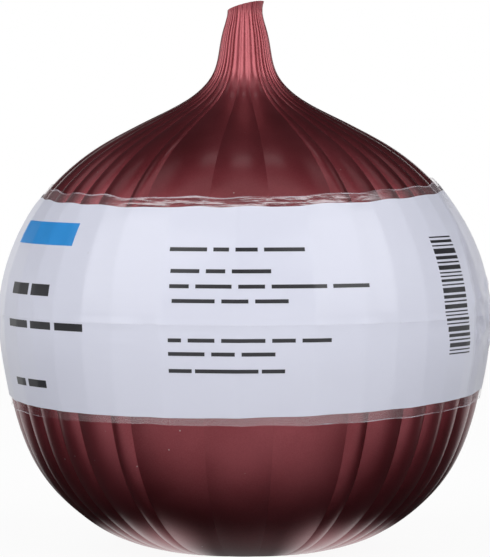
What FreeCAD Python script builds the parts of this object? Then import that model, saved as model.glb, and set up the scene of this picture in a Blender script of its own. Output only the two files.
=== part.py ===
"""Onion keeper: a round food box in the shape of an onion, in two moulded halves.

The lower half is a bowl on a ring foot. The upper half is a lid that runs up into a
hollow stem with a slanted end. The lid drops over a collar on the bowl, with a seal ring
between them, and locks with tabs that turn in under lugs. A printed film band is stuck
round the middle and is slit along the seam, so each half keeps its own part of the band.

Millimetres and degrees. Z is up, the origin is the middle of the foot, and the front
of the keeper faces -Y.
"""

import FreeCAD, Part
import math
import os
from FreeCAD import Rotation, Vector

# Sizes of the body
BODY_WIDTH = 113.6  # across the crests of the lobes, at the seam
SEAM_HEIGHT = 55.0  # foot to seam
LID_RISE = 72.0  # seam to the high corner of the stem
FOOT_WIDTH = 40.0
STEM_WIDTH = 9.0  # at the stem's end
WALL = 2.0
STEM_CAP = 3.5  # solid end of the stem
STEM_CUT_SIDE = 13.4  # degrees, the stem's end rises to the right
STEM_CUT_FRONT = 8.6  # degrees, and to the front
FOOT_RING = 4.0  # width of the ring that the bowl stands on
FOOT_RECESS = 0.6

# Outer shape as (share of the height from the seam, share of the radius gained)
LID_SHAPE = (
    (0.0, 1.0),
    (0.10, 0.984),
    (0.20, 0.943),
    (0.29, 0.884),
    (0.39, 0.789),
    (0.455, 0.701),
    (0.52, 0.586),
    (0.585, 0.430),
    (0.65, 0.250),
    (0.685, 0.165),
    (0.715, 0.112),
    (0.75, 0.070),
    (0.81, 0.037),
    (0.905, 0.012),
    (1.0, 0.0),
)
BOWL_SHAPE = (
    (0.0, 1.0),
    (0.07, 0.9975),
    (0.17, 0.983),
    (0.30, 0.948),
    (0.42, 0.908),
    (0.55, 0.844),
    (0.675, 0.748),
    (0.76, 0.649),
    (0.845, 0.513),
    (0.925, 0.334),
    (0.972, 0.166),
    (1.0, 0.0),
)

# Lobes: valleys run up the body like the folds of an onion's skin. Their places are in
# degrees from the front.
QUARTER_VALLEYS = (8.4, 27.0, 32.5, 43.0, 51.0, 59.0, 67.0, 78.0, 90.0)
LOBE_TURN = -1.6  # degrees, turns the whole pattern about the stem
BODY_LOBE_DEPTH = 0.9
STEM_LOBE_DEPTH = 0.22
FOOT_LOBE_DEPTH = 0.25

# Collar of the bowl, skirt of the lid and the seal between them
COLLAR_HEIGHT = 8.0
COLLAR_WALL = 1.6
COLLAR_CHAMFER = 0.4
SKIRT_WALL = 2.4  # lid wall beside the collar, measured from the valleys
SKIRT_GAP = 1.5  # room between collar and skirt for the lugs
SEAL_THICKNESS = 1.0
SEAL_CLEARANCE = 0.3
SEAT_STEP = 0.2  # the lid's seat reaches in this little less than the collar

# Twist lock
LOCK_COUNT = 4
LOCK_WIDTH = 22.0  # of a lug, and of a tab, round the collar
LOCK_STOP_WIDTH = 1.8
LOCK_TURN = 37.0  # degrees, from the open position to the lock
LOCK_REACH = 1.2  # of a lug from the collar, and of a tab from the skirt
LOCK_THICKNESS = 1.6
LOCK_PLAY = 0.4  # up and down, between tab and lug
STOP_PLAY = 0.45  # between tab and stop
LUG_TOP = 6.2  # above the seam

# Film band
FILM = 0.2
FILM_GAP = 0.3  # between the crests and the film
FILM_ABOVE = 29.9  # top edge above the seam, at the middle
FILM_BELOW = 20.3  # bottom edge below the seam, at the middle
FILM_LEAN_FRONT = 2.5  # degrees, the band hangs lower in front
FILM_LEAN_SIDE = 1.0  # degrees, and higher on the right
LAP_START = 68.0  # degrees right of the front, where the band's end laps over its start
LAP_WIDTH = 12.0

UP = Vector(0, 0, 1)
FRONT_ANGLE = -90.0
BODY_RADIUS = BODY_WIDTH / 2
BEYOND = BODY_WIDTH  # more than any reach of the keeper, for cutting blocks

SKIRT_RADIUS = BODY_RADIUS - BODY_LOBE_DEPTH - SKIRT_WALL
COLLAR_RADIUS = SKIRT_RADIUS - SKIRT_GAP
COLLAR_BORE = COLLAR_RADIUS - COLLAR_WALL
SEAT_HEIGHT = SEAM_HEIGHT + COLLAR_HEIGHT + SEAL_THICKNESS


def point(radius, height):
    """A point of the half section, which lies over the X axis."""
    return Vector(radius, 0, height)


def at_angle(radius, angle, height):
    turn = math.radians(angle)
    return Vector(radius * math.cos(turn), radius * math.sin(turn), height)


def blend(start, end, share):
    return start + (end - start) * share


def span(length, radius):
    """The degrees that a length takes up round a circle."""
    return math.degrees(length / radius)


def valley_angles():
    """Where the valleys lie round the body: one quarter's, mirrored to the other three."""
    half = list(QUARTER_VALLEYS) + [180 - a for a in reversed(QUARTER_VALLEYS[:-1])]
    full = half + [360 - a for a in reversed(half)]
    return [a + FRONT_ANGLE + LOBE_TURN for a in full]


def lid_stations():
    """(radius, height, lobe depth) up the outside of the lid."""
    stem = STEM_WIDTH / 2
    return [
        (
            blend(stem, BODY_RADIUS, wide),
            SEAM_HEIGHT + LID_RISE * rise,
            blend(STEM_LOBE_DEPTH, BODY_LOBE_DEPTH, math.sqrt(wide)),
        )
        for rise, wide in LID_SHAPE
    ]


def bowl_stations():
    """(radius, height, lobe depth) down the outside of the bowl."""
    foot = FOOT_WIDTH / 2
    return [
        (
            blend(foot, BODY_RADIUS, wide),
            SEAM_HEIGHT * (1 - drop),
            blend(FOOT_LOBE_DEPTH, BODY_LOBE_DEPTH, math.sqrt(wide)),
        )
        for drop, wide in BOWL_SHAPE
    ]


def lobed_wire(radius, height, depth):
    """A ring of arcs, one for each lobe, that meet in the valleys."""
    valleys = valley_angles()
    arcs = []
    for start, end in zip(valleys, valleys[1:] + [valleys[0] + 360]):
        low = at_angle(radius - depth, start, height)
        crest = at_angle(radius, (start + end) / 2, height)
        high = at_angle(radius - depth, end, height)
        arcs.append(Part.Arc(low, crest, high).toShape())
    return Part.Wire(arcs)


def lobed_solid(stations):
    return Part.makeLoft([lobed_wire(r, h, d) for r, h, d in stations], True, False)


def curve_through(points):
    curve = Part.BSplineCurve()
    curve.interpolate(points)
    return curve


def moved_outwards(stations, distance):
    """The section curve through the stations, moved off along its normals. The distance
    is a function of a station's lobe depth, and is negative towards the axis."""
    curve = curve_through([point(r, h) for r, h, d in stations])
    moved = []
    for r, h, d in stations:
        tangent = curve.tangent(curve.parameter(point(r, h)))[0]
        outwards = Vector(tangent.z, 0, -tangent.x)
        if outwards.x < 0:
            outwards = -outwards
        moved.append(point(r, h) + outwards * distance(d))
    return curve_through(moved)


def turned(edges):
    """The solid that a closed outline of edges sweeps round the Z axis."""
    return Part.Face(Part.Wire(edges)).revolve(Vector(), UP, 360)


def hollow(stations):
    """The room inside a half, one wall in from the valleys, from the seam to its far end."""
    curve = moved_outwards(stations, lambda depth: -(WALL + depth))
    seam_end, far_end = curve.StartPoint, curve.EndPoint
    seam_axis, far_axis = point(0, seam_end.z), point(0, far_end.z)
    return turned(
        [
            curve.toShape(),
            Part.makeLine(far_end, far_axis),
            Part.makeLine(far_axis, seam_axis),
            Part.makeLine(seam_axis, seam_end),
        ]
    )


def disc(radius, low, high):
    return Part.makeCylinder(radius, high - low, point(0, low))


def ring(inner, outer, low, high):
    return disc(outer, low, high).cut(disc(inner, low, high))


def ring_sector(inner, outer, low, high, start, width):
    """A piece of a ring, from the start angle and as wide as given in degrees."""
    corners = [point(inner, low), point(outer, low), point(outer, high), point(inner, high)]
    face = Part.Face(Part.makePolygon(corners + corners[:1]))
    face.rotate(Vector(), UP, start)
    return face.revolve(Vector(), UP, width)


def lock_angles():
    """The middles of the lugs round the collar."""
    return [FRONT_ANGLE + 360 / LOCK_COUNT * n for n in range(LOCK_COUNT)]


def outer_rim(tube, radius, height):
    """The edges of a tube that run round at this radius and height."""
    round_edges = [e for e in tube.Edges if abs(e.Length - 2 * math.pi * radius) < 1e-3]
    return [e for e in round_edges if abs(e.BoundBox.ZMin - height) < 1e-3]


def collar():
    """The bowl's collar with its lugs, and beside each lug the stops for lock and opening."""
    top = SEAM_HEIGHT + COLLAR_HEIGHT
    tube = ring(COLLAR_BORE, COLLAR_RADIUS, SEAM_HEIGHT - COLLAR_WALL, top)
    tube = tube.makeChamfer(COLLAR_CHAMFER, outer_rim(tube, COLLAR_RADIUS, top))
    inner, outer = COLLAR_RADIUS - COLLAR_WALL / 2, COLLAR_RADIUS + LOCK_REACH
    lug_top = SEAM_HEIGHT + LUG_TOP
    lug_bottom = lug_top - LOCK_THICKNESS
    stop_bottom = lug_bottom - LOCK_PLAY - LOCK_THICKNESS
    width, stop_width, play = [
        span(length, COLLAR_RADIUS) for length in (LOCK_WIDTH, LOCK_STOP_WIDTH, STOP_PLAY)
    ]
    grip = []
    for middle in lock_angles():
        lug_start = middle - width / 2
        lock_stop = lug_start - stop_width
        open_stop = middle + LOCK_TURN + width / 2 + play * 2
        grip.append(ring_sector(inner, outer, lug_bottom, lug_top, lug_start, width))
        for start in (lock_stop, open_stop):
            grip.append(ring_sector(inner, outer, stop_bottom, lug_top, start, stop_width))
    return tube.multiFuse(grip)


def lid_tabs():
    """Tabs on the lid's skirt, in the open position, just below the level of the lugs."""
    top = SEAM_HEIGHT + LUG_TOP - LOCK_THICKNESS - LOCK_PLAY
    low = top - LOCK_THICKNESS
    inner, outer = SKIRT_RADIUS - LOCK_REACH, SKIRT_RADIUS + SKIRT_WALL / 2
    width, play = span(LOCK_WIDTH, COLLAR_RADIUS), span(STOP_PLAY, COLLAR_RADIUS)
    open_start = LOCK_TURN + play - width / 2
    return [
        ring_sector(inner, outer, low, top, middle + open_start, width)
        for middle in lock_angles()
    ]


def bowl():
    stations = bowl_stations()
    room = hollow(stations).common(disc(COLLAR_BORE, 0, BEYOND))
    mouth = disc(COLLAR_BORE, SEAM_HEIGHT - COLLAR_WALL, SEAM_HEIGHT + COLLAR_HEIGHT)
    recess = disc(FOOT_WIDTH / 2 - FOOT_RING, -WALL, FOOT_RECESS)
    shell = lobed_solid(stations).cut(room).cut(recess)
    return shell.fuse(collar()).cut(mouth).removeSplitter()


def stem_cut():
    """A block whose lower face is the slanted end of the stem."""
    side, front = math.radians(STEM_CUT_SIDE), math.radians(STEM_CUT_FRONT)
    rise = STEM_WIDTH / 2 * math.hypot(math.tan(side), math.tan(front))
    block = Part.makeBox(BEYOND, BEYOND, BEYOND, Vector(-BEYOND / 2, -BEYOND / 2, 0))
    lean = Rotation(Vector(0, 1, 0), -STEM_CUT_SIDE).multiply(
        Rotation(Vector(1, 0, 0), -STEM_CUT_FRONT)
    )
    low_middle = point(0, SEAM_HEIGHT + LID_RISE - rise)
    block.Placement = FreeCAD.Placement(low_middle, lean)
    return block


def lid():
    stations = lid_stations()
    cap_bottom = SEAM_HEIGHT + LID_RISE - STEM_CAP
    seat_bore = COLLAR_BORE + SEAT_STEP
    room = hollow(stations).common(disc(seat_bore, SEAM_HEIGHT, cap_bottom))
    skirt = disc(SKIRT_RADIUS, SEAM_HEIGHT, SEAT_HEIGHT)
    tab_bore = disc(SKIRT_RADIUS - LOCK_REACH, SEAM_HEIGHT, SEAT_HEIGHT)
    shell = lobed_solid(stations).cut(room).cut(skirt).cut(stem_cut())
    return shell.multiFuse(lid_tabs()).cut(tab_bore).removeSplitter()


def seal_ring():
    inner = COLLAR_BORE + SEAL_CLEARANCE
    outer = SKIRT_RADIUS - SEAL_CLEARANCE
    return ring(inner, outer, SEAT_HEIGHT - SEAL_THICKNESS, SEAT_HEIGHT)


def film_shell(stations, inner, outer, width=360.0):
    """Film over the crests of one half, between two distances from them."""
    inside = moved_outwards(stations, lambda depth: inner)
    outside = moved_outwards(stations, lambda depth: outer)
    outline = [
        inside.toShape(),
        Part.makeLine(inside.EndPoint, outside.EndPoint),
        outside.toShape(),
        Part.makeLine(outside.StartPoint, inside.StartPoint),
    ]
    return Part.Face(Part.Wire(outline)).revolve(Vector(), UP, width)


def film_block(edge_height, upwards):
    """A block on one side of a leaning edge of the band, which the half's film is kept in."""
    block = Part.makeBox(
        2 * BEYOND, 2 * BEYOND, BEYOND, Vector(-BEYOND, -BEYOND, 0 if upwards else -BEYOND)
    )
    lean = Rotation(Vector(0, 1, 0), -FILM_LEAN_SIDE).multiply(
        Rotation(Vector(1, 0, 0), FILM_LEAN_FRONT)
    )
    block.Placement = FreeCAD.Placement(point(0, SEAM_HEIGHT + edge_height), lean)
    return block


def film(stations, edge_height):
    """The band's part on one half, with the lap where its end covers its start."""
    upper = edge_height > 0
    sheet = film_shell(stations, FILM_GAP, FILM_GAP + FILM)
    lap_width = span(LAP_WIDTH, BODY_RADIUS)
    lap = film_shell(stations, FILM_GAP + FILM / 2, FILM_GAP + 2 * FILM, lap_width)
    lap.rotate(Vector(), UP, FRONT_ANGLE + LAP_START)
    low = SEAM_HEIGHT if upper else SEAM_HEIGHT - BEYOND
    own_side = disc(BEYOND, low, low + BEYOND)
    return sheet.fuse(lap).common(own_side).common(film_block(edge_height, not upper))


def film_stations(stations, edge_height):
    """The stations that the band covers on one half, and two more for its lean."""
    count = sum(abs(h - SEAM_HEIGHT) < abs(edge_height) for r, h, d in stations)
    return stations[: count + 2]


def write(name, shape):
    solids = shape.Solids
    body = solids[0] if len(solids) == 1 else Part.makeCompound(solids)
    body.exportStep(os.path.join("parts", name + ".step"))
    print(name, len(solids), "solid, valid", body.isValid(), "volume", round(body.Volume))


def main():
    os.makedirs("parts", exist_ok=True)
    write("bowl", bowl())
    write("lid", lid())
    write("seal_ring", seal_ring())
    write("film_upper", film(film_stations(lid_stations(), FILM_ABOVE), FILM_ABOVE))
    write("film_lower", film(film_stations(bowl_stations(), -FILM_BELOW), -FILM_BELOW))


main()
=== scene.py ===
"""Looks of the onion keeper: two pearly ribbed halves, a film band round them and a seal ring.

The bowl, the lid and the seal ring keep their CAD shapes and get their plastics here. The film
band is made anew, as a thin sheet that spans the lobes, folds at the crests, puckers at its
clear edges and laps over itself on the right.

On the band, heights are over the seam and angles run to the right from the front.
"""

import math

import bmesh
import bpy
from mathutils import Matrix, Vector, noise
from mathutils.bvhtree import BVHTree


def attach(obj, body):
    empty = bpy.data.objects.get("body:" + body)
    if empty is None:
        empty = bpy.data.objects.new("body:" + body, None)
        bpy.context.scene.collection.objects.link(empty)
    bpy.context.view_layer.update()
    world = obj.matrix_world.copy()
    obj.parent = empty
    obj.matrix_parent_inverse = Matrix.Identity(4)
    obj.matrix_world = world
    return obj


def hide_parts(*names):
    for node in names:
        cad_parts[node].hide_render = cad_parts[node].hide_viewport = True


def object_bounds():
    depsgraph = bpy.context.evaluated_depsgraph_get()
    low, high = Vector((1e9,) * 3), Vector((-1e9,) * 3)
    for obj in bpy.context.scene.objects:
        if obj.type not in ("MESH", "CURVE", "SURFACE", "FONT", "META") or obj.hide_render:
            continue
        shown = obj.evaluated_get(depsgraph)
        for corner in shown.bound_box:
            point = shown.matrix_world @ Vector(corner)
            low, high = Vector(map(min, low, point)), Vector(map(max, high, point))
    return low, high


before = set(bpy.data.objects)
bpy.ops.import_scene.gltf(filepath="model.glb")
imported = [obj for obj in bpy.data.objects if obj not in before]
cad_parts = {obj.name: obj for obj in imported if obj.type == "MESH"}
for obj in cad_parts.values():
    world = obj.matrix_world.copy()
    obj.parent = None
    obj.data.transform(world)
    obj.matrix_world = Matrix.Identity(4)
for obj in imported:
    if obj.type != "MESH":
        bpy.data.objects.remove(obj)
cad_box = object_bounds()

MM = 0.001
SEAM = 0.055
UP = Vector((0, 0, 1))

# The band, in millimetres over the seam at the middle, and in degrees
EDGE_TOP, PRINT_TOP = 29.9, 27.8
PRINT_BOTTOM, EDGE_BOTTOM = -18.05, -20.3
LEAN_FRONT, LEAN_SIDE = 2.5, 1.0
FILM_MM = 0.12
UNDER_CAD_FILM = 0.08  # the sheet's outer face lies this far inside the CAD film's
RIM_MM = 0.22  # the strip along a cut edge that catches the light
BARE_START, BARE_END = 83.25, 91.5  # no print here: the band's two ends don't quite meet

# The lap, where the band's clear end lies down on its start
LAP_START, LAP_WIDTH = 66.0, 26.25
LAP_SLANT, SLANT_LOW, SLANT_HIGH = 4.0, 8, 28  # degrees its end swings back between two heights
LAP_FILM_SHARE = 0.8  # of the sheet's thickness

# How finely the sheet is divided
STEP_ANGLE = 0.75
ROW_MM = 0.6
CRISP_ANGLE = 50  # degrees between two faces from which their edge is drawn sharp

# The body's valleys in degrees from the front, as the CAD has them
QUARTER_VALLEYS = (8.4, 27.0, 32.5, 43.0, 51.0, 59.0, 67.0, 78.0, 90.0)
LOBE_TURN = -1.6
CHORD_SINK_MOST = 0.45  # mm the film sinks at most between two crests

# Grains of the sheet's relief, as (size in millimetres, seed)
RIPPLE_GRAIN = (9.0, 1.0)
BREAK_GRAIN = (5.0, 7.0)
TOP_PUCKER_GRAIN = (2.6, 3.0)
BOTTOM_PUCKER_GRAIN = (3.2, 5.0)
CRUMPLE_GRAIN = (3.0, 11.0)
TOP_WAVE_GRAIN = (7.5, 21.0)
BOTTOM_WAVE_GRAIN = (8.0, 25.0)

# Depths of the sheet's relief in millimetres, with heights, reaches and angles where they lie
RIPPLE_DEPTH = 0.05
BREAK_LOW, BREAK_HIGH = -0.25, 0.35
SEAM_FOLD, SEAM_FOLD_MORE, SEAM_FOLD_REACH = 0.05, 0.14, 0.9
LOW_FOLD, LOW_FOLD_HEIGHT, LOW_FOLD_REACH = 0.05, -4.2, 0.5
TOP_PUCKER, TOP_PUCKER_BIAS, TOP_PUCKER_END, TOP_PUCKER_FULL = 0.10, 0.4, 3.2, 0.4
FRONT_PUCKER, FRONT_LEFT, FRONT_RIGHT = 0.22, (-34, -20), (36, 26)
BOTTOM_PUCKER, BOTTOM_PUCKER_BIAS, BOTTOM_PUCKER_END, BOTTOM_PUCKER_FULL = 0.10, 0.3, 2.8, 0.4
CRUMPLE, CRUMPLE_BIAS, CRUMPLE_SINK_MOST, CRUMPLE_REACH = 1.25, 0.05, -0.1, 7
CRUMPLE_LEFT, CRUMPLE_RIGHT = (62, 68), (92, 84)
CREASE, CREASE_HEIGHT, CREASE_REACH, CREASE_CLIMB = 0.14, -16.0, 0.35, 0.05
CREASE_ANGLE, CREASE_ANGLE_REACH = 36.5, 2.2
TOP_WAVE, BOTTOM_WAVE, WAVE_END, WAVE_FULL = 0.75, 0.35, 4.5, 0.5


def smooth_step(low, high, value):
    share = min(max((value - low) / (high - low), 0.0), 1.0)
    return share * share * (3 - 2 * share)


def bump(middle, reach, value):
    """A smooth hill, 1 in the middle and next to nothing beyond its reach."""
    return math.exp(-((value - middle) / reach) ** 2)


# The film's shape


def crest_angles():
    half = list(QUARTER_VALLEYS) + [180 - a for a in reversed(QUARTER_VALLEYS[:-1])]
    full = half + [360 - a for a in reversed(half)]
    full = [a + LOBE_TURN for a in full]
    return [(a + b) / 2 for a, b in zip(full, full[1:] + [full[0] + 360])]


CRESTS = crest_angles()


def chord_sink(angle, radius_mm):
    """How far the film sinks between two crests, which it spans nearly straight."""
    turned = (angle - CRESTS[0]) % 360 + CRESTS[0]
    start = max(c for c in CRESTS if c <= turned + 1e-6)
    later = [c for c in CRESTS if c > turned + 1e-6]
    end = min(later) if later else CRESTS[0] + 360
    half = math.radians(end - start) / 2
    across = math.radians(turned - (start + end) / 2)
    deepest = radius_mm * (1 - math.cos(half))
    sink = radius_mm * (1 - math.cos(half) / math.cos(across))
    return sink * min(1.0, CHORD_SINK_MOST / deepest)


def edge_height(edge, x, y):
    """Height over the seam of a leaning edge, in the units of x and y."""
    return edge + x * math.tan(math.radians(LEAN_SIDE)) + y * math.tan(math.radians(LEAN_FRONT))


def grain(x, y, z, size, seed):
    return noise.noise(Vector((x / size, y / size, z / size + seed)))


def folds(x, y, z):
    """The slit edges stand up a little, and a shallow fold runs round below them."""
    broken = smooth_step(BREAK_LOW, BREAK_HIGH, grain(x, y, 0, *BREAK_GRAIN))
    at_seam = (SEAM_FOLD + SEAM_FOLD_MORE * broken) * bump(0, SEAM_FOLD_REACH, z)
    return at_seam + LOW_FOLD * broken * bump(LOW_FOLD_HEIGHT, LOW_FOLD_REACH, z)


def puckers(x, y, z, angle):
    """The clear edges pucker, and the top one more so in front."""
    below_top = edge_height(EDGE_TOP, x, y) - z
    in_front = smooth_step(*FRONT_LEFT, angle) * smooth_step(*FRONT_RIGHT, angle)
    top = (TOP_PUCKER + FRONT_PUCKER * in_front) * smooth_step(TOP_PUCKER_END, TOP_PUCKER_FULL, below_top)
    top *= TOP_PUCKER_BIAS + grain(x, y, 2 * z, *TOP_PUCKER_GRAIN)
    above_bottom = z - edge_height(EDGE_BOTTOM, x, y)
    bottom = BOTTOM_PUCKER * smooth_step(BOTTOM_PUCKER_END, BOTTOM_PUCKER_FULL, above_bottom)
    return top + bottom * (BOTTOM_PUCKER_BIAS + grain(x, y, 2 * z, *BOTTOM_PUCKER_GRAIN))


def crumple(x, y, z, angle):
    """The film is crushed round the seam at the lap. It can't sink into the plastic."""
    crushed = smooth_step(*CRUMPLE_LEFT, angle) * smooth_step(*CRUMPLE_RIGHT, angle)
    rough = CRUMPLE * grain(x, y, z, *CRUMPLE_GRAIN) + CRUMPLE_BIAS
    return crushed * bump(0, CRUMPLE_REACH, z) * max(CRUMPLE_SINK_MOST, rough)


def crease(z, angle):
    """One short crease at the lower right."""
    height = CREASE_HEIGHT + CREASE_CLIMB * (angle - CREASE_ANGLE)
    return CREASE * bump(height, CREASE_REACH, z) * bump(CREASE_ANGLE, CREASE_ANGLE_REACH, angle)


def relief(x, y, z):
    """How far the film stands out at a place, all in millimetres, z over the seam."""
    angle = math.degrees(math.atan2(x, -y))
    out = RIPPLE_DEPTH * grain(x, y, z, *RIPPLE_GRAIN) - chord_sink(angle, math.hypot(x, y))
    return out + folds(x, y, z) + puckers(x, y, z, angle) + crumple(x, y, z, angle) + crease(z, angle)


def wave(x, y, z):
    """How far the film's cut edges wander up and down, in millimetres."""
    below_top = edge_height(EDGE_TOP, x, y) - z
    above_bottom = z - edge_height(EDGE_BOTTOM, x, y)
    top = smooth_step(WAVE_END, WAVE_FULL, below_top) * grain(x, y, 0, *TOP_WAVE_GRAIN)
    bottom = smooth_step(WAVE_END, WAVE_FULL, above_bottom) * grain(x, y, 0, *BOTTOM_WAVE_GRAIN)
    return TOP_WAVE * top + BOTTOM_WAVE * bottom


def cad_tree(name):
    copy = bmesh.new()
    copy.from_mesh(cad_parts[name].data)
    tree = BVHTree.FromBMesh(copy)
    copy.free()
    return tree


HALVES = {
    "upper": {"film": "film_upper", "body": "lid_half", "side": 1, "low": 0.005, "high": 31.8},
    "lower": {"film": "film_lower", "body": "bowl_half", "side": -1, "low": -22.8, "high": -0.005},
}
for half in HALVES.values():
    half["tree"] = cad_tree(half["film"])


def film_radius(half, z):
    """Radius of the sheet's outer face, read off the CAD film where it reaches highest."""
    side = half["side"]
    clear_of_seam = 0.1
    z = max(z * side, clear_of_seam) * side
    start = Vector((0, side * 2 * cad_box[1].x, SEAM + z * MM))
    hit = half["tree"].ray_cast(start, Vector((0, -side, 0)))[0]
    return abs(hit.y) - UNDER_CAD_FILM * MM if hit else None


def section(half, low, high):
    """Points up the film from low to high, in millimetres over the seam."""
    count = max(1, round((high - low) / ROW_MM))
    rows = [low + (high - low) * n / count for n in range(count + 1)]
    points = [(film_radius(half, z), z) for z in rows]
    return [Vector((0, -r, SEAM + z * MM)) for r, z in points if r]


def spun_sheet(bm, half, low, high, start, width):
    """A part of the sheet, unrolled round the body from the start angle, joined up if it is full."""
    verts = [bm.verts.new(p) for p in section(half, low, high)]
    edges = [bm.edges.new(pair) for pair in zip(verts, verts[1:])]
    turn = Matrix.Rotation(math.radians(start), 3, "Z")
    bmesh.ops.rotate(bm, verts=verts, cent=(0, 0, 0), matrix=turn)
    bmesh.ops.spin(
        bm, geom=verts + edges, cent=(0, 0, 0), axis=UP, angle=math.radians(width),
        steps=round(width / STEP_ANGLE), use_merge=width >= 360,
    )


def cut_level(bm, edge, keep_below=None):
    """Cuts the sheet along a leaning level, and clears one side where told to."""
    side, front = math.radians(LEAN_SIDE), math.radians(LEAN_FRONT)
    normal = Vector((-math.tan(side), -math.tan(front), 1)).normalized()
    bmesh.ops.bisect_plane(
        bm, geom=bm.verts[:] + bm.edges[:] + bm.faces[:], dist=1e-6,
        plane_co=(0, 0, SEAM + edge * MM), plane_no=normal,
        clear_outer=keep_below is True, clear_inner=keep_below is False,
    )


def outwards(place):
    """The direction straight out from the body's axis at a place."""
    return Vector((place.x, place.y, 0)).normalized()


def lay_over_lobes(bm, lift):
    """Moves every point of the sheet to where the lobes and its creases hold it."""
    for v in bm.verts:
        x, y, z = v.co.x / MM, v.co.y / MM, (v.co.z - SEAM) / MM
        out = (relief(x, y, z) + lift) * MM
        v.co += outwards(v.co) * out + UP * wave(x, y, z) * MM


def face_out(bm):
    bmesh.ops.recalc_face_normals(bm, faces=bm.faces)
    bm.normal_update()
    for face in bm.faces:
        if face.normal.dot(outwards(face.calc_center_median())) < 0:
            face.normal_flip()


def thicken(bm, thickness_mm):
    """Gives the sheet its thickness on the inside, and keeps its rims crisp."""
    bmesh.ops.solidify(bm, geom=bm.faces, thickness=thickness_mm * MM)
    bm.normal_update()
    for edge in bm.edges:
        edge.smooth = edge.calc_face_angle(0.0) < math.radians(CRISP_ANGLE)


def piece(name, bm, materials, body):
    mesh = bpy.data.meshes.new(name)
    bm.to_mesh(mesh)
    bm.free()
    for material in materials:
        mesh.materials.append(material)
    mesh.polygons.foreach_set("use_smooth", [True] * len(mesh.polygons))
    made = bpy.data.objects.new(name, mesh)
    bpy.context.scene.collection.objects.link(made)
    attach(made, body)
    return made


PRINTED, CLEAR, RIM = range(3)  # the sheet's finishes, in the order of its materials


def film_zone(at, side, edge, print_edge):
    """Which finish the film has at a place, in millimetres."""
    over_seam = at.z - SEAM / MM
    if (over_seam - edge_height(edge, at.x, at.y)) * side > -RIM_MM:
        return RIM
    bare = BARE_START < math.degrees(math.atan2(at.x, -at.y)) < BARE_END
    past_print = (over_seam - edge_height(print_edge, at.x, at.y)) * side > 0
    return CLEAR if bare or past_print else PRINTED


def film_sheet(key, printed, clear, rim):
    """One half's part of the band: printed white in the middle, clear along its edge."""
    half = HALVES[key]
    upper = half["side"] > 0
    edge, print_edge = (EDGE_TOP, PRINT_TOP) if upper else (EDGE_BOTTOM, PRINT_BOTTOM)
    bm = bmesh.new()
    spun_sheet(bm, half, half["low"], half["high"], 0, 360)
    cut_level(bm, edge, keep_below=upper)
    cut_level(bm, print_edge)
    cut_level(bm, edge - half["side"] * RIM_MM)
    face_out(bm)
    for face in bm.faces:
        face.material_index = film_zone(face.calc_center_median() / MM, half["side"], edge, print_edge)
    lay_over_lobes(bm, 0)
    thicken(bm, FILM_MM)
    made = piece("film_sheet_" + key, bm, [printed, clear, rim], half["body"])
    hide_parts(half["film"])


def film_lap(key, clear):
    """The clear end of the band, which lies down on the printed start and runs on over it."""
    half = HALVES[key]
    upper = half["side"] > 0
    bm = bmesh.new()
    spun_sheet(bm, half, half["low"], half["high"], LAP_START, LAP_WIDTH)
    cut_level(bm, EDGE_TOP if upper else EDGE_BOTTOM, keep_below=upper)
    face_out(bm)
    for v in bm.verts:
        off_end = math.degrees(math.atan2(v.co.x, -v.co.y)) - LAP_START
        v.co += outwards(v.co) * FILM_MM * smooth_step(0, 2 * STEP_ANGLE, off_end) * MM
        swing = LAP_SLANT * smooth_step(SLANT_LOW, SLANT_HIGH, (v.co.z - SEAM) / MM)
        v.co.rotate(Matrix.Rotation(math.radians(swing), 3, "Z"))
    lay_over_lobes(bm, 0)
    thicken(bm, FILM_MM * LAP_FILM_SHARE)
    piece("film_lap_" + key, bm, [clear], half["body"])


# What is printed on the band: plain bars, a blue field and a block of stripes

# (height of the middle, bar height, start angle, and in degrees bars and gaps by turns)
BARS = (
    (16.45, 0.85, -18.0, (9.0, 1.5, 3.75, 1.5, 5.25, 1.5, 9.75)),
    (11.75, 0.85, -17.25, (6.75, 1.5, 4.5, 1.5, 9.0)),
    (8.45, 0.85, -17.25, (4.5, 1.5, 8.25, 1.5, 6.0, 1.5, 12.75, 1.5, 9.0)),
    (5.25, 0.85, -16.5, (9.75, 1.5, 6.0, 1.5, 7.5)),
    (-3.35, 0.85, -17.25, (3.0, 1.5, 6.0, 1.5, 9.75, 1.5, 5.25, 1.5, 6.75)),
    (-6.35, 0.85, -17.25, (8.25, 1.5, 5.25, 1.5, 7.5)),
    (-10.1, 0.85, -17.25, (5.25, 0.75, 14.25, 0.75, 5.25)),
    (6.6, 2.6, -69.0, (9.0, 1.5, 7.5)),
    (-1.3, 1.7, -69.75, (10.5, 1.5, 8.25, 1.5, 9.0)),
    (-14.6, 1.7, -69.0, (6.0, 1.5, 8.25)),
)
BLUE_FIELD = (16.6, 21.6, -75.0, 28.5)  # low, high, start angle, width in degrees
BLOCK = (-7.9, 18.9, 51.75, 9.75)
BLOCK_SLIP, SLIP_NONE, SLIP_FULL = 2.0, 2, -7  # degrees its foot is pushed right between two heights
BLOCK_STRIPES = (0.3, 0.3, 0.95, 0.35, 0.75, 1.15, 0.3, 0.6)  # thicknesses, taken by turns
BLOCK_GAP = 0.5
INK_LIFT, INK_MM = 0.03, 0.02
THINNEST_FIELD = 0.1  # what is left of a field across the seam is dropped below this height


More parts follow.
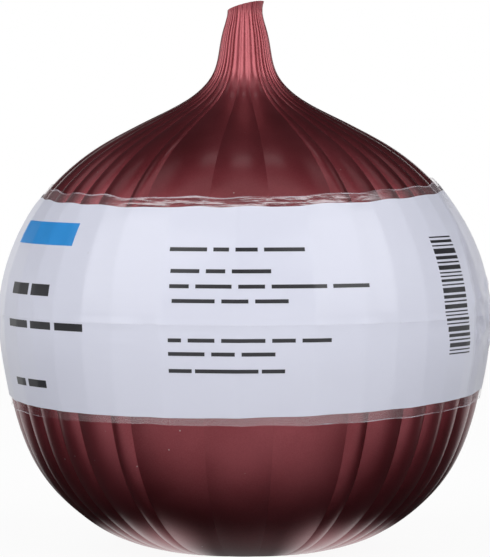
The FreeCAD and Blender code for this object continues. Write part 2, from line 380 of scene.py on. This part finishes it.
def printed_fields():
    """Every field as (low, high, start, width, is it blue)."""
    fields = []
    for middle, tall, start, lengths in BARS:
        for n, length in enumerate(lengths):
            if n % 2 == 0:
                fields.append((middle - tall / 2, middle + tall / 2, start, length, False))
            start += length
    fields.append((*BLUE_FIELD, True))
    low, high, start, width = BLOCK
    n = 0
    while low < high - BLOCK_STRIPES[n % len(BLOCK_STRIPES)]:
        tall = BLOCK_STRIPES[n % len(BLOCK_STRIPES)]
        slip = BLOCK_SLIP * smooth_step(SLIP_NONE, SLIP_FULL, low)
        fields.append((low, low + tall, start + slip, width, False))
        low += tall + BLOCK_GAP
        n += 1
    return fields


def print_on(key, ink, blue_ink):
    half = HALVES[key]
    bm = bmesh.new()
    for low, high, start, width, blue in printed_fields():
        low, high = max(low, half["low"]), min(high, half["high"])
        if high - low < THINNEST_FIELD:
            continue
        before = len(bm.faces)
        spun_sheet(bm, half, low, high, start, width)
        bm.faces.ensure_lookup_table()
        for face in bm.faces[before:]:
            face.material_index = 1 if blue else 0
    face_out(bm)
    lay_over_lobes(bm, INK_LIFT)
    thicken(bm, INK_MM)
    piece("print_" + key, bm, [ink, blue_ink], half["body"])


# Materials


def group_of(name, inputs, outputs):
    """An empty shader node group with its sockets."""
    tree = bpy.data.node_groups.new(name, "ShaderNodeTree")
    for label, default in inputs:
        socket = tree.interface.new_socket(label, in_out="INPUT", socket_type="NodeSocketFloat")
        socket.default_value = default
    for label in outputs:
        tree.interface.new_socket(label, in_out="OUTPUT", socket_type="NodeSocketFloat")
    return tree, tree.nodes.new("NodeGroupInput"), tree.nodes.new("NodeGroupOutput")


def feed(tree, socket, value):
    """Links a socket to another, or sets its plain value."""
    if isinstance(value, bpy.types.NodeSocket):
        tree.links.new(value, socket)
    else:
        socket.default_value = value


def node(tree, kind, settings=(), **inputs):
    """A node with its settings and inputs. An input is named, or numbered as in0, in1."""
    made = tree.nodes.new("ShaderNode" + kind)
    for name, value in dict(settings).items():
        setattr(made, name, value)
    for name, value in inputs.items():
        key = int(name[2:]) if name.startswith("in") else name.replace("_", " ")
        feed(tree, made.inputs[key], value)
    return made


def math_node(tree, operation, a, b=0.0, clamp=False):
    return node(tree, "Math", {"operation": operation, "use_clamp": clamp}, in0=a, in1=b).outputs[0]


def ranged(tree, value, low, high, to_low=0.0, to_high=1.0):
    return node(
        tree, "MapRange", {"interpolation_type": "SMOOTHSTEP"},
        Value=value, From_Min=low, From_Max=high, To_Min=to_low, To_Max=to_high,
    ).outputs["Result"]


def noise_node(tree, vector, scale, detail, roughness=0.5):
    made = node(tree, "TexNoise", Vector=vector, Scale=scale, Detail=detail, Roughness=roughness)
    return made.outputs[0]


def object_place(tree):
    return node(tree, "TexCoord").outputs["Object"]


def dust_group():
    """Small pale specks, thinly strewn."""
    tree, given, out = group_of("dust_specks", [("Scale", 300.0), ("Amount", 0.5)], ["Mask"])
    speck_edge, speck_core = 0.10, 0.03
    most_chosen = 0.1
    cells = node(
        tree, "TexVoronoi", {"feature": "F1"}, Vector=object_place(tree), Scale=given.outputs["Scale"]
    )
    near = ranged(tree, cells.outputs["Distance"], speck_edge, speck_core)
    chosen = node(tree, "SeparateColor", Color=cells.outputs["Color"]).outputs[0]
    share = math_node(tree, "MULTIPLY", given.outputs["Amount"], most_chosen)
    kept = math_node(tree, "GREATER_THAN", chosen, math_node(tree, "SUBTRACT", 1.0, share))
    tree.links.new(math_node(tree, "MULTIPLY", near, kept), out.inputs["Mask"])
    return tree


def handling_group():
    """Cloudy variation as moulding and handling leave it, in one coarse and one fine grain."""
    tree, given, out = group_of("handling_clouds", [("Scale", 40.0)], ["Cloud", "Fine"])
    place = object_place(tree)
    finer = 60.0
    cloud = noise_node(tree, place, given.outputs["Scale"], detail=3.0)
    fine_scale = math_node(tree, "MULTIPLY", given.outputs["Scale"], finer)
    fine = noise_node(tree, place, fine_scale, detail=1.0)
    tree.links.new(cloud, out.inputs["Cloud"])
    tree.links.new(fine, out.inputs["Fine"])
    return tree


DUST = dust_group()
HANDLING = handling_group()


def placed(tree, group, **values):
    made = tree.nodes.new("ShaderNodeGroup")
    made.node_tree = group
    for name, value in values.items():
        made.inputs[name].default_value = value
    return made.outputs


def material(name, **constants):
    """A material with one Principled shader, whose plain values are set on its own sockets."""
    made = bpy.data.materials.new(name)
    made.use_nodes = True
    shader = made.node_tree.nodes["Principled BSDF"]
    for label, value in constants.items():
        shader.inputs[label.replace("_", " ")].default_value = value
    return made, made.node_tree, shader


def mixed(tree, share, a, b):
    made = node(tree, "Mix", {"data_type": "RGBA"}, in0=share, in6=a, in7=b)
    return made.outputs[2]


def dusted(tree, colour, dust_colour, scale, amount, strength):
    mask = placed(tree, DUST, Scale=scale, Amount=amount)["Mask"]
    return mixed(tree, math_node(tree, "MULTIPLY", mask, strength), colour, dust_colour)


def bumped(tree, shader, height, distance, strength):
    made = node(tree, "Bump", Height=height, Distance=distance, Strength=strength)
    tree.links.new(made.outputs["Normal"], shader.inputs["Normal"])


CLOUD_FADE = (0.3, 0.7)  # the part of a cloud's noise that is spread from none to full

PEARL_DEEP = (0.200, 0.020, 0.029, 1)
PEARL_LIGHT = (0.290, 0.050, 0.064, 1)
# Painted highlight on the stem, paler and pinker than the rest of the plastic
PEARL_STEM_HIGHLIGHT = (0.400, 0.085, 0.102, 1)
PEARL_DUST = (0.55, 0.47, 0.47, 1)
PEARL_FADE = (0.25, 0.8)  # of the cloud and flakes together, from deep to light
FLAKE_SCALE, FLAKE_SHARE, FLAKE_HEIGHT = 7000.0, 0.15, 0.000003
SATIN_LEAST, SATIN_MOST = 0.38, 0.44  # roughness
STEM_HIGHLIGHT_HEIGHTS = (0.1065, 0.1125)  # metres over the floor, between which the painted highlight on the stem comes in
STEM_HIGHLIGHT_MOST = 0.75

PRINT_WHITE_LOW = (0.675, 0.690, 0.805, 1)
PRINT_WHITE_HIGH = (0.708, 0.722, 0.835, 1)
PRINT_DUST = (0.5, 0.5, 0.55, 1)

# Where the clear edges show, each as (none, full): metres from the middle, or over the floor. The glints
# are painted highlights on the top edge in front, the sheen is a painted reflection on the lower edge in
# front
GLINT_SIDES, GLINT_HEIGHTS = (0.034, 0.024), (0.072, 0.078)
SHEEN_SIDES, SHEEN_HEIGHTS = (0.046, 0.022), (0.045, 0.040)
CLEARER_LOW, CLEARER_SHARE = (0.040, 0.060), 0.35
GLINT_MOST, SHEEN_MOST, MILK_MOST, SKIM_MOST = 0.42, 0.12, 0.05, 0.10
GLINT_SCALE, GLINT_DRAW = 150.0, (1, 1, 11.0)
GLINT_FADE, MILK_FADE = (0.46, 0.64), (0.40, 0.75)  # of their noise, from none to full

SEAL_DARK = (0.58, 0.57, 0.55, 1)
SEAL_PALE = (0.70, 0.69, 0.67, 1)
DARK_INK = (0.012, 0.012, 0.016, 1)
BLUE_INK = (0.02, 0.23, 0.58, 1)
INK_PALER, INK_LEAST = 1.35, 0.01


def pearl_plastic():
    """Dark red moulded plastic with a fine pearl in it, under a satin skin, and a painted highlight that
    pales the stem.
    """
    made, tree, shader = material(
        "pearl_plastic", Metallic=0.92, Specular_IOR_Level=0.5,
        Coat_Weight=0.7, Coat_Roughness=0.22, Coat_IOR=1.5,
    )
    cloud = placed(tree, HANDLING, Scale=45.0)["Cloud"]
    place = object_place(tree)
    flakes = node(tree, "TexVoronoi", Vector=place, Scale=FLAKE_SCALE)
    flake = node(tree, "SeparateColor", Color=flakes.outputs["Color"]).outputs[0]
    clouded = math_node(tree, "MULTIPLY", cloud, 1 - FLAKE_SHARE)
    flaked = math_node(tree, "MULTIPLY", flake, FLAKE_SHARE)
    pearl = ranged(tree, math_node(tree, "ADD", clouded, flaked), *PEARL_FADE)
    colour = mixed(tree, pearl, PEARL_DEEP, PEARL_LIGHT)
    height = node(tree, "SeparateXYZ", Vector=place).outputs["Z"]
    # Painted highlight: the stem's upright faces are paled towards a lighter pink, for the front lamps
    # they mirror
    colour = mixed(tree, ranged(tree, height, *STEM_HIGHLIGHT_HEIGHTS, 0.0, STEM_HIGHLIGHT_MOST), colour, PEARL_STEM_HIGHLIGHT)
    colour = dusted(tree, colour, PEARL_DUST, scale=420.0, amount=0.55, strength=0.7)
    tree.links.new(colour, shader.inputs["Base Color"])
    satin = ranged(tree, cloud, 0.2, 0.8, SATIN_LEAST, SATIN_MOST)
    tree.links.new(satin, shader.inputs["Roughness"])
    bumped(tree, shader, flake, distance=FLAKE_HEIGHT, strength=0.5)
    return made


def printed_film():
    """Film with a white print behind it: bluish white and softly glossy."""
    made, tree, shader = material(
        "printed_film", Roughness=0.38, Specular_IOR_Level=0.4,
        Coat_Weight=0.25, Coat_Roughness=0.12, Coat_IOR=1.5,
    )
    cloud = placed(tree, HANDLING, Scale=30.0)["Cloud"]
    colour = mixed(tree, cloud, PRINT_WHITE_LOW, PRINT_WHITE_HIGH)
    colour = dusted(tree, colour, PRINT_DUST, scale=260.0, amount=0.35, strength=0.4)
    tree.links.new(colour, shader.inputs["Base Color"])
    bumped(tree, shader, cloud, distance=0.0004, strength=0.35)
    return made


def clear_film():
    """The unprinted edge: nearly invisible, but in front streaked at the top with painted glints and
    veiled below with a painted sheen.
    """
    made, tree, shader = material(
        "clear_film", Base_Color=(0.86, 0.74, 0.78, 1), Roughness=0.14, Specular_IOR_Level=0.6
    )
    cloud = placed(tree, HANDLING, Scale=60.0)["Cloud"]
    place = object_place(tree)
    at = node(tree, "SeparateXYZ", Vector=place).outputs
    sideways = math_node(tree, "ABSOLUTE", at["X"])

    skim = node(tree, "LayerWeight", Blend=0.3).outputs["Facing"]
    milk = ranged(tree, cloud, *MILK_FADE, 0.0, MILK_MOST)
    alpha = math_node(tree, "ADD", milk, math_node(tree, "MULTIPLY", skim, SKIM_MOST))
    clearer = ranged(tree, at["Z"], *CLEARER_LOW, CLEARER_SHARE, 1.0)
    alpha = math_node(tree, "MULTIPLY", alpha, clearer)

    # Painted glints: streaks of the top edge in front are made more opaque, where its puckers catch the
    # light
    drawn = node(tree, "Mapping", Vector=place, Scale=GLINT_DRAW).outputs[0]
    lines = noise_node(tree, drawn, GLINT_SCALE, detail=3.0, roughness=0.65)
    painted_glint = ranged(tree, lines, *GLINT_FADE, 0.0, GLINT_MOST)
    front = ranged(tree, sideways, *GLINT_SIDES)
    top = ranged(tree, at["Z"], *GLINT_HEIGHTS)
    painted_glint = math_node(tree, "MULTIPLY", painted_glint, math_node(tree, "MULTIPLY", front, top))
    alpha = math_node(tree, "ADD", alpha, painted_glint)

    # Painted sheen: the lower edge in front is made more opaque and pale, for the reflection it shows
    # there
    sheen_in_front = ranged(tree, sideways, *SHEEN_SIDES)
    low = ranged(tree, at["Z"], *SHEEN_HEIGHTS, 0.0, SHEEN_MOST)
    painted_sheen = math_node(tree, "MULTIPLY", sheen_in_front, low)
    tree.links.new(math_node(tree, "ADD", alpha, painted_sheen, clamp=True), shader.inputs["Alpha"])
    bumped(tree, shader, cloud, distance=0.0005, strength=0.4)
    return made


def lapped_film_and_shade():
    """The clear end over the print, a second layer of film that greys the print under it: partly the
    film's own grey and partly painted shade on the band's right side.
    """
    made, tree, shader = material(
        "lapped_film_and_shade", Base_Color=(0.56, 0.55, 0.61, 1), Roughness=0.16, Specular_IOR_Level=0.6
    )
    cloud = placed(tree, HANDLING, Scale=80.0)["Cloud"]
    grey_and_shade = ranged(tree, cloud, *CLOUD_FADE, to_low=0.08, to_high=0.15)
    tree.links.new(grey_and_shade, shader.inputs["Alpha"])
    bumped(tree, shader, cloud, distance=0.0006, strength=0.5)
    return made


def film_rim_highlight():
    """The film's cut edge: a thin pale line, uneven in strength, which is a painted highlight of the edge
    catching the light.
    """
    made, tree, shader = material(
        "film_rim_highlight", Base_Color=(0.78, 0.72, 0.80, 1), Roughness=0.25, Specular_IOR_Level=0.6
    )
    cloud = placed(tree, HANDLING, Scale=130.0)["Cloud"]
    line = ranged(tree, cloud, *CLOUD_FADE, to_low=0.05, to_high=0.40)
    tree.links.new(line, shader.inputs["Alpha"])
    return made


def plain_ink(name, colour):
    made, tree, shader = material(
        name, Roughness=0.42, Specular_IOR_Level=0.4, Coat_Weight=0.2, Coat_Roughness=0.15
    )
    cloud = placed(tree, HANDLING, Scale=90.0)["Cloud"]
    paler = tuple(min(c * INK_PALER + INK_LEAST, 1) for c in colour[:3]) + (1,)
    tree.links.new(mixed(tree, cloud, colour, paler), shader.inputs["Base Color"])
    return made


def seal_rubber():
    made, tree, shader = material("seal_rubber", Specular_IOR_Level=0.35)
    clouds = placed(tree, HANDLING, Scale=120.0)
    tree.links.new(mixed(tree, clouds["Cloud"], SEAL_DARK, SEAL_PALE), shader.inputs["Base Color"])
    matt = ranged(tree, clouds["Fine"], *CLOUD_FADE, to_low=0.52, to_high=0.66)
    tree.links.new(matt, shader.inputs["Roughness"])
    bumped(tree, shader, clouds["Fine"], distance=0.00002, strength=0.5)
    return made


# The floor, the light and the camera

# Bright and dark parts of the floor as (none, full), in metres from the foot's middle, or as
# the share of a direction that points to the side
SWEEP_AWAY, FLAGS_SIDEWAYS = (0.20, 0.70), (0.85, 0.45)
FOOT_AWAY, FOOT_SIDEWAYS, FOOT_IN_FRONT = (0.040, 0.029), (0.25, 0.65), 0.15
BEHIND_FORWARD, BEHIND_MOST = (0.03, 0.07), 0.5
FRONT_CARD_FORWARD, FRONT_CARD_MOST = (-0.035, -0.088), 0.90
BACK_CARD_FORWARD, BACK_CARD_MOST = (0.07, 0.13), 0.60
CARD_LEAST = 0.04
SEEN_WHITE = 0.93  # share of the floor that the camera sees plain white. The rest takes the shadow

FLOOR_RADIUS, FLOOR_SIDES = 3.0, 128
WALL_STEPS = ((0.15, 0.0375), (0.075, 0.0875), (0.025, 0.55))  # (outwards, upwards) from its rim

# Name, place, size and power in watts of each lamp, its aim's height and whether it gleams
LAMPS = (
    ("left_box", (-1.08, -0.74, 0.82), (1.5, 1.4), 15.8, 0.07, True),
    ("right_box", (1.08, -0.74, 0.82), (1.5, 1.4), 15.8, 0.07, True),
    ("back_box", (0.0, 1.5, 0.9), (1.4, 1.0), 8, 0.07, False),
    ("over_box", (0.0, -0.22, 1.0), (1.6, 0.42), 1.8, 0.06, True),
    ("front_box", (0.0, -1.4, 0.30), (0.8, 0.4), 0.6, 0.08, True),
    ("left_kicker", (-0.6, 0.30, 0.9), (0.4, 0.4), 0.21, 0.08, True),
    ("right_kicker", (0.6, 0.30, 0.9), (0.4, 0.4), 0.21, 0.08, True),
    ("top_box", (0.0, 0.17, 0.9), (0.20, 0.10), 0.08, 0.06, True),
)

STUDIO_COLOUR, STUDIO_STRENGTH = (0.93, 0.95, 1.0, 1), 0.02

CAMERA_DISTANCE, CAMERA_PITCH, LOOK_HEIGHT = 0.9, 2.7, 0.0626
CAMERA_LENS, CAMERA_SENSOR = 250.2, 36


def floor_gleam(tree, away, sideways, forward):
    """What is mirrored of the floor: the sweep far behind, the foot's sides and the back."""
    far = ranged(tree, away, *SWEEP_AWAY)
    sweep = math_node(tree, "MULTIPLY", far, ranged(tree, sideways, *FLAGS_SIDEWAYS))
    beside = ranged(tree, sideways, *FOOT_SIDEWAYS, FOOT_IN_FRONT, 1.0)
    foot_light = math_node(tree, "MULTIPLY", ranged(tree, away, *FOOT_AWAY), beside)
    behind = ranged(tree, forward, *BEHIND_FORWARD, 0.0, BEHIND_MOST)
    return math_node(tree, "MAXIMUM", math_node(tree, "MAXIMUM", sweep, foot_light), behind)


def floor_material():
    """White floor that keeps the object's shadow and runs out to plain white.

    What it throws back on the object is less than what the camera sees, as on a set with
    a white card in front, a white sweep behind and dark flags on both sides.
    """
    made = bpy.data.materials.new("floor_white")
    made.use_nodes = True
    tree = made.node_tree
    tree.nodes.clear()
    place = object_place(tree)
    away = node(tree, "VectorMath", {"operation": "LENGTH"}, in0=place).outputs["Value"]
    direction = node(tree, "VectorMath", {"operation": "NORMALIZE"}, in0=place).outputs[0]
    sideways = math_node(tree, "ABSOLUTE", node(tree, "SeparateXYZ", Vector=direction).outputs["X"])
    forward = node(tree, "SeparateXYZ", Vector=place).outputs["Y"]

    path = node(tree, "LightPath").outputs
    mirrored = math_node(tree, "MAXIMUM", path["Is Glossy Ray"], path["Is Transmission Ray"])
    gleam = math_node(tree, "MULTIPLY", floor_gleam(tree, away, sideways, forward), mirrored)
    front_card = ranged(tree, forward, *FRONT_CARD_FORWARD, CARD_LEAST, FRONT_CARD_MOST)
    back_card = ranged(tree, forward, *BACK_CARD_FORWARD, CARD_LEAST, BACK_CARD_MOST)
    card = math_node(tree, "MAXIMUM", front_card, back_card)
    white = node(tree, "Emission", Color=(1, 1, 1, 1), Strength=1.0).outputs[0]
    carded = node(tree, "BsdfDiffuse", Color=card).outputs[0]
    thrown = node(tree, "MixShader", in0=gleam, in1=carded, in2=white).outputs[0]

    pale = node(tree, "BsdfDiffuse", Color=(0.9, 0.9, 0.9, 1)).outputs[0]
    whiteness = math_node(tree, "MAXIMUM", ranged(tree, away, *SWEEP_AWAY), SEEN_WHITE)
    seen = node(tree, "MixShader", in0=whiteness, in1=pale, in2=white).outputs[0]
    both = node(tree, "MixShader", in0=path["Is Camera Ray"], in1=thrown, in2=seen)
    out = tree.nodes.new("ShaderNodeOutputMaterial")
    tree.links.new(both.outputs[0], out.inputs["Surface"])
    return made


def build_floor():
    """The floor and, far out, a low white wall that it runs up into all round."""
    bm = bmesh.new()
    bmesh.ops.create_circle(bm, cap_ends=True, segments=FLOOR_SIDES, radius=FLOOR_RADIUS)
    for out, up in WALL_STEPS:
        rim = [e for e in bm.edges if e.is_boundary]
        new = bmesh.ops.extrude_edge_only(bm, edges=rim)["geom"]
        verts = [v for v in new if isinstance(v, bmesh.types.BMVert)]
        share = 1 + out / verts[0].co.to_2d().length
        bmesh.ops.scale(bm, verts=verts, vec=(share, share, 1))
        bmesh.ops.translate(bm, verts=verts, vec=(0, 0, up))
    mesh = bpy.data.meshes.new("floor")
    bm.to_mesh(mesh)
    bm.free()
    mesh.materials.append(floor_material())
    floor = bpy.data.objects.new("floor", mesh)
    bpy.context.scene.collection.objects.link(floor)


def build_world():
    """A dim studio, which lights the object a little from all round."""
    world = bpy.data.worlds.new("studio")
    bpy.context.scene.world = world
    world.use_nodes = True
    dim = world.node_tree.nodes["Background"]
    dim.inputs["Color"].default_value = STUDIO_COLOUR
    dim.inputs["Strength"].default_value = STUDIO_STRENGTH


def soft_box(name, place, size, power, aim_height, gleams):
    """A soft lamp. One that doesn't gleam lights the object, but isn't mirrored in it."""
    data = bpy.data.lights.new(name, "AREA")
    data.shape = "RECTANGLE"
    data.size, data.size_y = size
    data.energy = power
    lamp = bpy.data.objects.new(name, data)
    lamp.location = place
    lamp.visible_glossy = gleams
    aim = Vector((0, 0, aim_height))
    lamp.rotation_euler = (aim - Vector(place)).to_track_quat("-Z", "Y").to_euler()
    bpy.context.scene.collection.objects.link(lamp)


def build_camera():
    """The photograph's view: from close by, looking down a little."""
    pitch = math.radians(CAMERA_PITCH)
    data = bpy.data.cameras.new("view")
    data.sensor_fit = "VERTICAL"
    data.sensor_height = CAMERA_SENSOR
    data.lens = CAMERA_LENS
    camera = bpy.data.objects.new("view", data)
    height = LOOK_HEIGHT + CAMERA_DISTANCE * math.sin(pitch)
    camera.location = (0, -CAMERA_DISTANCE * math.cos(pitch), height)
    camera.rotation_euler = (math.pi / 2 - pitch, 0, 0)
    bpy.context.scene.collection.objects.link(camera)
    bpy.context.scene.camera = camera


def dress_cad(name, made):
    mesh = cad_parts[name].data
    mesh.materials.clear()
    mesh.materials.append(made)


def main():
    pearl = pearl_plastic()
    dress_cad("bowl", pearl)
    dress_cad("lid", pearl)
    dress_cad("seal_ring", seal_rubber())
    printed, clear, rim, lap_film_and_shade = printed_film(), clear_film(), film_rim_highlight(), lapped_film_and_shade()
    ink, blue_ink = plain_ink("dark_ink", DARK_INK), plain_ink("blue_ink", BLUE_INK)
    for key in HALVES:
        film_sheet(key, printed, clear, rim)
        film_lap(key, lap_film_and_shade)
        print_on(key, ink, blue_ink)
    build_floor()
    build_world()
    for lamp in LAMPS:
        soft_box(*lamp)
    build_camera()
    bpy.context.scene.view_settings.view_transform = "Standard"


main()
